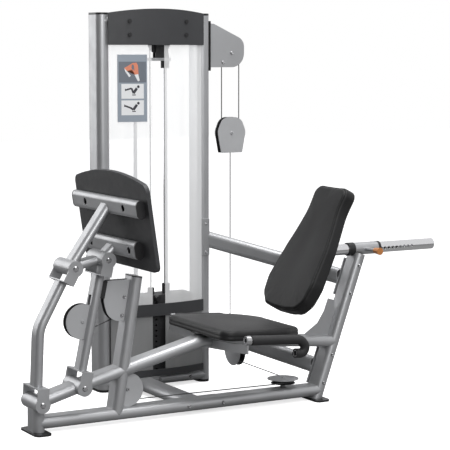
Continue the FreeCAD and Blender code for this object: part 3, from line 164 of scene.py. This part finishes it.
def frosted(name):
    """Translucent sheet of the tower's shroud, darker at its foot and above it given a faint glow
    of painted light.
    """
    recipe = Recipe(name)
    height = recipe.add("ShaderNodeSeparateXYZ")
    recipe.link(recipe.coordinates.outputs["Object"], height.inputs["Vector"])

    def by_height(at_foot, upper):
        return recipe.ramp(height.outputs["Z"], [(DARKER_FOOT_TOP, (at_foot,) * 3),
                                                 (DARKER_FOOT_TOP + DARKER_FOOT_FADE, (upper,) * 3)])

    clear = recipe.add("ShaderNodeBsdfTransparent")
    recipe.link(by_height(0.70, 0.97), clear.inputs["Color"])
    body = recipe.add("ShaderNodeBsdfPrincipled", Roughness=0.35)
    streak = recipe.ramp(recipe.noise(3.0, 2.0, (6.0, 6.0, 0.2)),
                         [(0.35, (0.92, 0.93, 0.94)), (0.65, (0.99, 0.995, 1.0))])
    tint = recipe.add("ShaderNodeMixRGB", Fac=1.0)
    tint.blend_type = "MULTIPLY"
    recipe.link(by_height(0.34, 0.95), tint.inputs["Color1"])
    recipe.link(streak, tint.inputs["Color2"])
    recipe.link(tint.outputs["Color"], body.inputs["Base Color"])
    # painted light: above its foot the sheet glows faintly, though it is no lamp
    recipe.link(by_height(0.0, 1.0), body.inputs["Emission Color"])
    body.inputs["Emission Strength"].default_value = 0.22
    mix = recipe.add("ShaderNodeMixShader")
    recipe.link(by_height(0.75, 0.30), mix.inputs["Fac"])
    recipe.link(clear.outputs["BSDF"], mix.inputs[1])
    recipe.link(body.outputs["BSDF"], mix.inputs[2])
    recipe.link(mix.outputs["Shader"], recipe.output.inputs["Surface"])
    return recipe.material


# surface(name, colour, roughness, metal, variation and its scale, grain and its scale)
MATERIALS = {
    "frame_paint": surface("silver_paint", (0.45, 0.455, 0.465), 0.42, 0.65, 0.03, 7, 0.08, 1400),
    "dark_board": surface("charcoal_paint", (0.040, 0.041, 0.044), 0.52, 0.1, 0.06, 9, 0.12, 1200),
    "vinyl": leather("vinyl", (0.013, 0.013, 0.0135)),
    "chrome": surface("chrome", (0.88, 0.88, 0.89), 0.12, 1.0, 0.02, 5),
    "zinc": surface("zinc_plate", (0.55, 0.55, 0.56), 0.26, 0.95, 0.04, 30),
    "stack_black": surface("stack_paint", (0.030, 0.030, 0.032), 0.5, 0.2, 0.1, 14, 0.2, 700),
    "pulley_black": surface("nylon", (0.015, 0.015, 0.016), 0.42, 0, 0.1, 20),
    "guard_grey": surface("guard_paint", (0.42, 0.425, 0.435), 0.62, 0.1, 0.04, 8, 0.08, 1200),
    "shroud_white": frosted("shroud_sheet"),
    "placard_face": surface("placard_print", (0.29, 0.33, 0.38), 0.4, 0, 0.02, 4),
    "rubber_black": surface("rubber", (0.016, 0.016, 0.017), 0.62, 0, 0.1, 20, 0.3, 800),
    "cap_black": surface("moulded_plastic", (0.014, 0.014, 0.015), 0.4, 0, 0.08, 20, 0.1, 900),
    "knob_copper": surface("copper_knob", (0.62, 0.25, 0.08), 0.3, 0.3, 0.05, 20),
    "cable_black": surface("coated_cable", (0.05, 0.05, 0.052), 0.35, 0, 0.08, 60, 0.25, 500),
}


def paint(obj, material):
    """Gives an object one material."""
    obj.data.materials.clear()
    obj.data.materials.append(material)
    return obj


for entry in frame["record"]["subparts"]:
    paint(nodes[entry["node"]], MATERIALS[entry["material_slot"]])


def paint_where(obj, material, chosen):
    """Second material on the faces whose centre, in machine millimetres, is chosen."""
    obj.data.materials.append(material)
    for face in obj.data.polygons:
        centre = (obj.matrix_world @ face.center + MIDDLE) * 1000
        if chosen(centre.x, centre.y, centre.z):
            face.material_index = 1


# painted shade: the far guard plates, column flange and inner hanger get black faces where they lie
# in shade
PAINTED_SHADE_PARTS = {
    "link_pulley_guard": lambda x, y, z: y > 10,
    "upright_bracket": lambda x, y, z: y > 10,
    "floating_block": lambda x, y, z: y > CABLE_PLANE - 12,
    "pulley_guards": lambda x, y, z: x > 1310 and y > 400,
    "top_pulley_brackets": lambda x, y, z: 1166 < x < 1172.4 or (x < 1000 and z > 1567),
}
for node_name, in_painted_shade in PAINTED_SHADE_PARTS.items():
    # the black nylon on these faces is painted shade, not the parts' own colour
    paint_where(nodes[node_name], MATERIALS["pulley_black"], in_painted_shade)


def new_mesh(name, bm, material, smooth=True):
    """Scene object from a bmesh."""
    mesh = bpy.data.meshes.new(name)
    bm.to_mesh(mesh)
    bm.free()
    for face in mesh.polygons:
        face.use_smooth = smooth
    obj = bpy.data.objects.new(name, mesh)
    bpy.context.scene.collection.objects.link(obj)
    return paint(obj, material)


# --- cables -----------------------------------------------------------------------------------
PITCH = 0.048            # pulley centre to cable centre
CABLE = 0.0024           # radius
CABLE_SIDES = 12
EYE = 0.011              # anchor bolt's centre to the start of the cable
LINK_BOLT = Vector((-0.012, 0, -0.080))    # from the upper pulley's centre
TOP_BOLT_DROP = 0.045    # below the top pulley's centre


def close_rings(bm, rings):
    """Faces between rings of points, and one across each end."""
    for first, second in zip(rings, rings[1:]):
        for step in range(len(first)):
            following = (step + 1) % len(first)
            bm.faces.new((first[step], first[following], second[following], second[step]))
    bm.faces.new(reversed(rings[0]))
    bm.faces.new(rings[-1])


def cable(name, path):
    """Closed round cable along points."""
    bm = bmesh.new()
    rings = []
    for index, point in enumerate(path):
        ahead = path[min(index + 1, len(path) - 1)] - path[max(index - 1, 0)]
        turn = ahead.normalized().to_track_quat("Z", "Y").to_matrix()
        angles = [2 * math.pi * step / CABLE_SIDES for step in range(CABLE_SIDES)]
        rings.append([bm.verts.new(point + turn @ Vector((CABLE * math.cos(angle),
                                                          CABLE * math.sin(angle), 0)))
                      for angle in angles])
    close_rings(bm, rings)
    bmesh.ops.recalc_face_normals(bm, faces=bm.faces)
    return new_mesh(name, bm, MATERIALS["cable_black"])


def straight(first, last, steps=32):
    """Points along a straight run."""
    return [first.lerp(last, step / steps) for step in range(steps + 1)]


def wrap(centre, start, end, steps=28):
    """Points in a pulley's groove in the XZ plane, degrees from +X towards +Z."""
    points = []
    for step in range(steps + 1):
        angle = math.radians(start + (end - start) * step / steps)
        points.append(centre + Vector((math.cos(angle), 0, math.sin(angle))) * PITCH)
    return points


link_centre, upper_centre = at(212, 0, 457), at(409, 0, 549)
anchor_link = upper_centre + LINK_BOLT


def tangent_angle(first, second, radius_a, radius_b, side):
    """Angle in degrees, at the first circle, of a tangent to two circles in the XZ plane."""
    gap = second - first
    swing = math.acos((radius_a - radius_b) / gap.length)
    return math.degrees(math.atan2(gap.z, gap.x) + side * swing)


low_angle = tangent_angle(link_centre, anchor_link, PITCH, 0.0, -1)
top_angle = tangent_angle(link_centre, upper_centre, PITCH, PITCH, 1)
round_link = wrap(link_centre, low_angle, top_angle - 360)
over_upper = upper_centre + (round_link[-1] - link_centre)
link_end = anchor_link + (round_link[0] - anchor_link).normalized() * EYE
# one step each, so that the runs stay straight between the two bodies that turn
low_run = cable("link_cable_low", straight(link_end, round_link[0], 1))
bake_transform(low_run)
high_run = cable("link_cable_high", straight(round_link[-1], over_upper, 1))
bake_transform(high_run)
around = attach(cable("link_cable_wrap", round_link), "rear_link")
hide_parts("link_cable")

corner_rise, block_foot = at(1300, CABLE_PLANE, 142), at(1300, CABLE_PLANE, 1107)
low_cable = cable("block_cable_low", straight(corner_rise, block_foot, 40))
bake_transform(low_cable)
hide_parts("block_low_cable")

block_centre, top_centre = at(1300, CABLE_PLANE, 1202), at(1300, CABLE_PLANE, 1588)
to_groove = Vector((PITCH, 0, 0))
anchor_top = top_centre - to_groove + Vector((0, 0, -TOP_BOLT_DROP - EYE))
fall_left, fall_right = block_centre - to_groove, block_centre + to_groove
left_run = cable("block_cable_left", straight(anchor_top, fall_left))
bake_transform(left_run)
top_right = top_centre + to_groove
right_run = cable("block_cable_right", straight(fall_right, top_right))
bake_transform(right_run)
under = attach(cable("block_cable_wrap", wrap(block_centre, 180, 360)), "floating_block")
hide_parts("block_high_cable")

stack_top, stack_boss = at(865, CABLE_PLANE, 1640), at(865, CABLE_PLANE, 474)
stack_run = cable("stack_cable_run", straight(stack_top, stack_boss, 48))
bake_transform(stack_run)
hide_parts("stack_cable")


# --- upholstery -------------------------------------------------------------------------------
def rounded(points, steps=7):
    """Outline whose (x, y, radius) corners are turned into arcs."""
    made = []
    for index, (x, y, radius) in enumerate(points):
        here = Vector((x, y))
        before = (Vector(points[index - 1][:2]) - here).normalized()
        after = (Vector(points[(index + 1) % len(points)][:2]) - here).normalized()
        half = before.angle(after) / 2
        centre = here + (before + after).normalized() * (radius / math.sin(half))
        reach = radius / math.tan(half)
        first, last = here + before * reach, here + after * reach
        for step in range(steps + 1):
            spoke = (first - centre).lerp(last - centre, step / steps).normalized()
            made.append(centre + spoke * radius)
    return made


def inset(outline, distance):
    """Outline moved inwards, for an anticlockwise one."""
    made = []
    for index, here in enumerate(outline):
        along = (outline[(index + 1) % len(outline)] - outline[index - 1]).normalized()
        made.append(here + Vector((-along.y, along.x)) * distance)
    return made


def edge_distance(outline, x, y):
    """Distance of each point inside the outline from its edge."""
    nearest = np.full(len(x), 1e9)
    for index, first in enumerate(outline):
        second = outline[(index + 1) % len(outline)]
        run = second - first
        if run.length < 1e-9:
            continue
        share = np.clip(((x - first.x) * run.x + (y - first.y) * run.y) / run.length_squared, 0, 1)
        nearest = np.minimum(nearest, np.hypot(x - first.x - share * run.x,
                                               y - first.y - share * run.y))
    return nearest


LOW_STEPS, HIGH_STEPS = 4, 6     # of a pad's rounded edges


def loft(outline, thick, edge_low, edge_high):
    """Closed pad: the outline raised to a thickness with rounded lower and upper edges."""
    layers = []
    for step in range(LOW_STEPS + 1):
        angle = math.pi / 2 * step / LOW_STEPS
        layers.append((edge_low * (1 - math.sin(angle)), edge_low * (1 - math.cos(angle))))
    for step in range(HIGH_STEPS + 1):
        angle = math.pi / 2 * step / HIGH_STEPS
        layers.append((edge_high * (1 - math.cos(angle)),
                       thick - edge_high * (1 - math.sin(angle))))
    bm = bmesh.new()
    rings = [[bm.verts.new((point.x, point.y, height)) for point in inset(outline, pull)]
             for pull, height in layers]
    close_rings(bm, rings)
    return bm


def bake(obj):
    """Applies an object's modifiers to its mesh."""
    graph = bpy.context.evaluated_depsgraph_get()
    graph.update()
    mesh = bpy.data.meshes.new_from_object(obj.evaluated_get(graph))
    obj.modifiers.clear()
    obj.data = mesh


def coordinates(obj):
    """An object's points as rows of x, y and z."""
    values = np.zeros(len(obj.data.vertices) * 3)
    obj.data.vertices.foreach_get("co", values)
    return values.reshape(-1, 3)


def set_coordinates(obj, values):
    """Moves an object's points to rows of x, y and z."""
    obj.data.vertices.foreach_set("co", values.reshape(-1).astype(np.float32))
    obj.data.update()


BOARD = 0.004            # height of a pad's edge that is stapled to its board
BOARD_FADE = 0.022       # height over which the cover comes free of the board
LAST_FRAME = 20
VOXEL = 0.0055           # cell of the cover before it is filled


def puff(obj, cap):
    """Fills a closed pad by cloth simulation, its board side held, its crown rising by cap."""
    rest = coordinates(obj)
    held = obj.vertex_groups.new(name="held")
    held.add([int(index) for index in np.nonzero(rest[:, 2] < BOARD)[0]], 1.0, "ADD")
    cloth = obj.modifiers.new("Fill", "CLOTH")
    cloth.settings.quality = 5
    cloth.settings.mass = 0.4
    cloth.settings.tension_stiffness = cloth.settings.compression_stiffness = 12
    cloth.settings.shear_stiffness = 6
    cloth.settings.bending_stiffness = 1.5
    cloth.settings.use_pressure = True
    cloth.settings.uniform_pressure_force = 4.0
    cloth.settings.vertex_group_mass = "held"
    cloth.settings.effector_weights.gravity = 0
    cloth.point_cache.frame_start, cloth.point_cache.frame_end = 1, LAST_FRAME
    for number in range(1, LAST_FRAME + 1):
        bpy.context.scene.frame_set(number)
    bake(obj)
    move = coordinates(obj) - rest
    length = np.linalg.norm(move, axis=1, keepdims=True)
    share = min(1.0, cap / np.percentile(length, 97))
    fade = np.clip((rest[:, 2:] - BOARD) / BOARD_FADE, 0, 1)
    set_coordinates(obj, rest + move * fade * np.minimum(share, cap / np.maximum(length, 1e-9)))
    bpy.context.scene.frame_set(1)


# painted shade: near-black vinyl laid in the crease of a seam, where shade falls
SEAM_SHADE = leather("vinyl_seam_shade", (0.002, 0.002, 0.002))
CROWN = 0.007            # rise of a pad's crown in the simulation
SWELL = 0.004            # thickness left out beforehand for it
RIM_SHARE = 0.4          # the same for the outline, as a share of SWELL


def pad(name, points, thick, edges, seam, shape, axes, origin):
    """Upholstered pad in local metres: X and Y in the board's plane, Z towards the user.

    Points are corners in millimetres with a radius. The edges are the lower and upper rounding.
    The seam is a groove: its distance from the outline and from the top, its width, its depth,
    and the share of its width that gets painted shade.
    """
    outline = [point / 1000 for point in rounded(points)]
    rim = inset(outline, SWELL * RIM_SHARE)
    obj = new_mesh(name, loft(rim, thick - SWELL, *edges), MATERIALS["vinyl"])
    remesh = obj.modifiers.new("Even", "REMESH")
    remesh.mode, remesh.voxel_size, remesh.use_smooth_shade = "VOXEL", VOXEL, True
    bake(obj)
    puff(obj, CROWN)
    finer = obj.modifiers.new("Finer", "SUBSURF")
    finer.levels = finer.render_levels = 1
    bake(obj)
    place = coordinates(obj)
    inward = edge_distance(rim, place[:, 0], place[:, 1])
    normals = np.zeros(len(place) * 3)
    obj.data.vertices.foreach_get("normal", normals)
    inside, below, width, depth, shade_share = seam
    away = np.hypot(inward - inside, place[:, 2] - (thick - below))
    place = place - normals.reshape(-1, 3) * (depth * np.exp(-(away / width) ** 2))[:, None]
    place[:, 2] += shape(place[:, 0], place[:, 1]) * np.clip(place[:, 2] / thick, 0, 1)
    set_coordinates(obj, place)
    paint(obj, MATERIALS["vinyl"])
    obj.data.materials.append(SEAM_SHADE)
    # faces in the shaded share of the seam get the painted shade
    shaded_faces = away < width * shade_share
    for face in obj.data.polygons:
        face.use_smooth = True
        face.material_index = int(shaded_faces[list(face.vertices)].all())
    obj.matrix_world = Matrix.Translation(origin) @ Matrix(axes).transposed().to_4x4()
    return obj


seat_tilt = math.radians(3.0)
seat_along = (math.cos(seat_tilt), 0, -math.sin(seat_tilt))
seat_up = (math.sin(seat_tilt), 0, math.cos(seat_tilt))
SEAT_LONG, SEAT_HALF, SEAT_THICK = 450.0, 282.0, 0.048
seat_points = [(0, -SEAT_HALF, 55), (SEAT_LONG * 0.5, -SEAT_HALF + 10, 300),
               (SEAT_LONG * 0.78, -SEAT_HALF + 42, 150), (SEAT_LONG, -SEAT_HALF + 107, 70),
               (SEAT_LONG, SEAT_HALF - 107, 70), (SEAT_LONG * 0.78, SEAT_HALF - 42, 150),
               (SEAT_LONG * 0.5, SEAT_HALF - 10, 300), (0, SEAT_HALF, 55)]
seat_low = at(757, 0, 410.5) - Vector(seat_up) * SEAT_THICK


def seat_dish(x, y):
    """The seat sinks a little at its middle and falls away at the rear."""
    return (-0.003 * np.exp(-((x - 0.24) / 0.14) ** 2 - (y / 0.15) ** 2)
            - 0.010 * np.clip((x - 0.27) / 0.18, 0, 1) ** 2)


seat = pad("seat_upholstery", seat_points, SEAT_THICK, (0.006, 0.016),
           (0.002, 0.030, 0.003, 0.0018, 0), seat_dish, (seat_along, (0, 1, 0), seat_up), seat_low)
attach(seat, "frame")
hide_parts("seat_pad")

recline = math.radians(28.0)
back_up = (math.sin(recline), 0, math.cos(recline))
back_in = (-math.cos(recline), 0, math.sin(recline))
BACK_THICK = 0.0685
back_right = [(52, 11, 200), (136, 22, 60), (183, 70, 60), (198, 150, 120), (174, 330, 250),
              (129, 515, 250), (136, 634, 45)]
back_points = back_right + [(-x, y, radius) for x, y, radius in reversed(back_right)]
back_low = at(1179, 0, 427.5) - Vector(back_in) * BACK_THICK


def back_curve(x, y):
    """The back's face swells at the loins and hollows above them."""
    return (0.005 * np.exp(-((y - 0.15) / 0.11) ** 2) - 0.006 * np.exp(-((y - 0.40) / 0.12) ** 2)
            - 0.004 * np.exp(-(x / 0.09) ** 2 - ((y - 0.35) / 0.25) ** 2))


back = pad("back_upholstery", back_points, BACK_THICK, (0.008, 0.013),
           (0.005, 0.005, 0.006, 0.0045, 0.95), back_curve, ((0, -1, 0), back_up, back_in),
           back_low)
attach(back, "back_rest")
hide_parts("back_pad")


# --- placard ----------------------------------------------------------------------------------
# machine millimetres: the shroud bows out between the tower's columns, and the placard lies on it
COLUMN_LEFT, COLUMN_GAP = 606.0, 528.5
FACE_AT_COLUMN, SHROUD_BOW = 583.3, 40.0
PLACARD_LEFT, PLACARD_WIDE = 665.0, 142.0
PLACARD_TOP, PLACARD_HIGH = 1582, 311
INK_UNDER, INK_OVER = 0.3, 0.5
SQUEEZE = 0.478          # about its width over its height, so that drawn shapes are not stretched
EDGE_PARTS = 4           # pieces of each printed edge, so that it follows the bow


def shroud_front(x):
    """Y of the placard's face at a machine X, in millimetres."""
    across = (x - COLUMN_LEFT) / COLUMN_GAP
    return FACE_AT_COLUMN - 4 * SHROUD_BOW * across * (1 - across)


PRINT = {
    "field": surface("print_field", (0.15, 0.17, 0.20), 0.45, 0, 0.02, 4),
    "white": surface("print_white", (0.78, 0.79, 0.80), 0.45, 0, 0.02, 4),
    "muscle": surface("print_orange", (0.72, 0.24, 0.14), 0.45, 0, 0.05, 30),
    "figure": surface("print_figure", (0.035, 0.035, 0.045), 0.45, 0, 0.02, 4),
}


def printed(name, shapes, ink, lift):
    """Flat printed shapes on the placard; points are shares of its width and height."""
    bm = bmesh.new()
    for shape in shapes:
        dense = []
        for index, (u, v) in enumerate(shape):
            following = shape[(index + 1) % len(shape)]
            for step in range(EDGE_PARTS):
                dense.append((u + (following[0] - u) * step / EDGE_PARTS,
                              v + (following[1] - v) * step / EDGE_PARTS))
        corners = []
        for u, v in dense:
            x, z = PLACARD_LEFT + PLACARD_WIDE * u, PLACARD_TOP - PLACARD_HIGH * v
            corners.append(bm.verts.new(at(x, shroud_front(x) - lift, z)))
        bm.faces.new(corners)
    bmesh.ops.triangulate(bm, faces=bm.faces, ngon_method="EAR_CLIP")
    bmesh.ops.recalc_face_normals(bm, faces=bm.faces)
    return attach(new_mesh(name, bm, PRINT[ink], False), "frame")


def slab(left, top, right, bottom):
    """Rectangle on the placard."""
    return [(left, top), (right, top), (right, bottom), (left, bottom)]


def limb(first, last, thick):
    """Bar between two placard points, its width measured across the placard."""
    start, end = Vector((first[0], first[1] / SQUEEZE)), Vector((last[0], last[1] / SQUEEZE))
    side = (end - start).normalized()
    side = Vector((-side.y, side.x)) * thick / 2
    ends = [start + side, end + side, end - side, start - side]
    return [(point.x, point.y * SQUEEZE) for point in ends]


def disc(centre, radius, steps=14):
    """Round shape on the placard."""
    return [(centre[0] + radius * math.cos(2 * math.pi * step / steps),
             centre[1] + radius * SQUEEZE * math.sin(2 * math.pi * step / steps))
            for step in range(steps)]


printed("placard_field", [slab(0.04, 0.105, 0.96, 0.415)], "field", INK_UNDER)
boxes = [slab(0.12, 0.435, 0.88, 0.655), slab(0.12, 0.68, 0.88, 0.90)]
printed("placard_boxes", boxes, "white", INK_UNDER)
thigh = [(0.22, 0.20), (0.50, 0.125), (0.63, 0.12), (0.68, 0.16), (0.70, 0.29), (0.57, 0.30),
         (0.53, 0.22), (0.30, 0.245)]
printed("placard_thigh", [thigh], "muscle", INK_OVER)
shins = [[(0.22, 0.205), (0.31, 0.24), (0.44, 0.315), (0.38, 0.335), (0.25, 0.25)],
         [(0.56, 0.30), (0.69, 0.29), (0.74, 0.385), (0.68, 0.40)]]
printed("placard_shins", shins, "white", INK_OVER)
# a seated figure in each box, knees bent above and stretched below
figure = []
for drop, knee, foot in ((0.0, (0.46, 0.50), (0.27, 0.525)), (0.245, (0.42, 0.545), (0.24, 0.515))):
    hip, shoulder, head = (0.52, 0.575 + drop), (0.64, 0.50 + drop), (0.69, 0.478 + drop)
    knee, foot = (knee[0], knee[1] + drop), (foot[0], foot[1] + drop)
    figure += [limb(hip, shoulder, 0.085), limb(hip, knee, 0.06), limb(knee, foot, 0.05),
               limb((0.48, 0.60 + drop), (0.60, 0.60 + drop), 0.03), disc(head, 0.045),
               limb((foot[0] - 0.015, foot[1] - 0.018), (foot[0] - 0.015, foot[1] + 0.016), 0.03)]
printed("placard_figures", figure, "figure", INK_OVER)

# --- light, floor and camera --------------------------------------------------------------------
scene = bpy.context.scene
scene.view_settings.view_transform = "Standard"
world = bpy.data.worlds.new("studio")
scene.world = world
world.use_nodes = True
tree = world.node_tree
# white ground behind the machine, and a room that is darker on one side for its reflections
backdrop = tree.nodes["Background"]
backdrop.inputs["Color"].default_value = (1, 1, 1, 1)
backdrop.inputs["Strength"].default_value = 1.0
room = tree.nodes.new("ShaderNodeBackground")
direction = tree.nodes.new("ShaderNodeTexCoord")
towards = tree.nodes.new("ShaderNodeVectorMath")
towards.operation = "DOT_PRODUCT"
towards.inputs[1].default_value = (-0.84, -0.47, -0.28)
levels = tree.nodes.new("ShaderNodeValToRGB")
pale, dark = levels.color_ramp.elements
pale.position, pale.color = 0.0, (0.72, 0.72, 0.73, 1)
dark.position, dark.color = 0.62, (0.05, 0.05, 0.052, 1)
both = tree.nodes.new("ShaderNodeMixShader")
path = tree.nodes.new("ShaderNodeLightPath")
tree.links.new(direction.outputs["Generated"], towards.inputs[0])
tree.links.new(towards.outputs["Value"], levels.inputs["Fac"])
tree.links.new(levels.outputs["Color"], room.inputs["Color"])
tree.links.new(path.outputs["Is Camera Ray"], both.inputs["Fac"])
tree.links.new(room.outputs["Background"], both.inputs[1])
tree.links.new(backdrop.outputs["Background"], both.inputs[2])
tree.links.new(both.outputs["Shader"], tree.nodes["World Output"].inputs["Surface"])


def softbox(name, place, aim, size, power):
    """Large area light aimed at a point."""
    data = bpy.data.lights.new(name, "AREA")
    data.shape, data.size, data.energy = "SQUARE", size, power
    lamp = bpy.data.objects.new(name, data)
    scene.collection.objects.link(lamp)
    lamp.location = place
    lamp.rotation_euler = (Vector(aim) - Vector(place)).to_track_quat("-Z", "Y").to_euler()


softbox("key", (-1.4, -4.6, 3.2), (0, 0, 0.7), 2.8, 140)
softbox("side", (-2.4, 3.6, 2.0), (0, 0, 0.9), 2.8, 45)
softbox("top", (0.4, -0.4, 4.4), (0, 0, 0.6), 2.8, 120)


def pale_floor():
    """White to the eye, greyer to the machine, so that undersides stay dark."""
    recipe = Recipe("studio_floor")
    seen = recipe.add("ShaderNodeBsdfDiffuse", Color=(0.9, 0.9, 0.9, 1))
    glow = recipe.add("ShaderNodeEmission", Strength=0.66)
    bright = recipe.add("ShaderNodeAddShader")
    grey = recipe.add("ShaderNodeBsdfDiffuse", Color=(0.22, 0.22, 0.22, 1))
    choice = recipe.add("ShaderNodeMixShader")
    ray = recipe.add("ShaderNodeLightPath")
    recipe.link(seen.outputs["BSDF"], bright.inputs[0])
    recipe.link(glow.outputs["Emission"], bright.inputs[1])
    recipe.link(ray.outputs["Is Camera Ray"], choice.inputs["Fac"])
    recipe.link(grey.outputs["BSDF"], choice.inputs[1])
    recipe.link(bright.outputs["Shader"], choice.inputs[2])
    recipe.link(choice.outputs["Shader"], recipe.output.inputs["Surface"])
    return recipe.material


FLOOR_REACH, FLOOR_DROP = 20, 0.0005
floor_mesh = bmesh.new()
bmesh.ops.create_grid(floor_mesh, x_segments=1, y_segments=1, size=FLOOR_REACH)
floor = new_mesh("floor", floor_mesh, pale_floor(), False)
floor.location.z = -FLOOR_DROP

lens = bpy.data.cameras.new("camera")
lens.lens, lens.sensor_width = 131.486, 36.0
camera = bpy.data.objects.new("camera", lens)
scene.collection.objects.link(camera)
camera_tilt, camera_turn = math.radians(90 - 6.131), math.radians(-29.438)
camera.location = Vector((-2.6478, -6.3128, 1.610)) - MIDDLE
camera.rotation_euler = (camera_tilt, 0, camera_turn)
scene.camera = camera
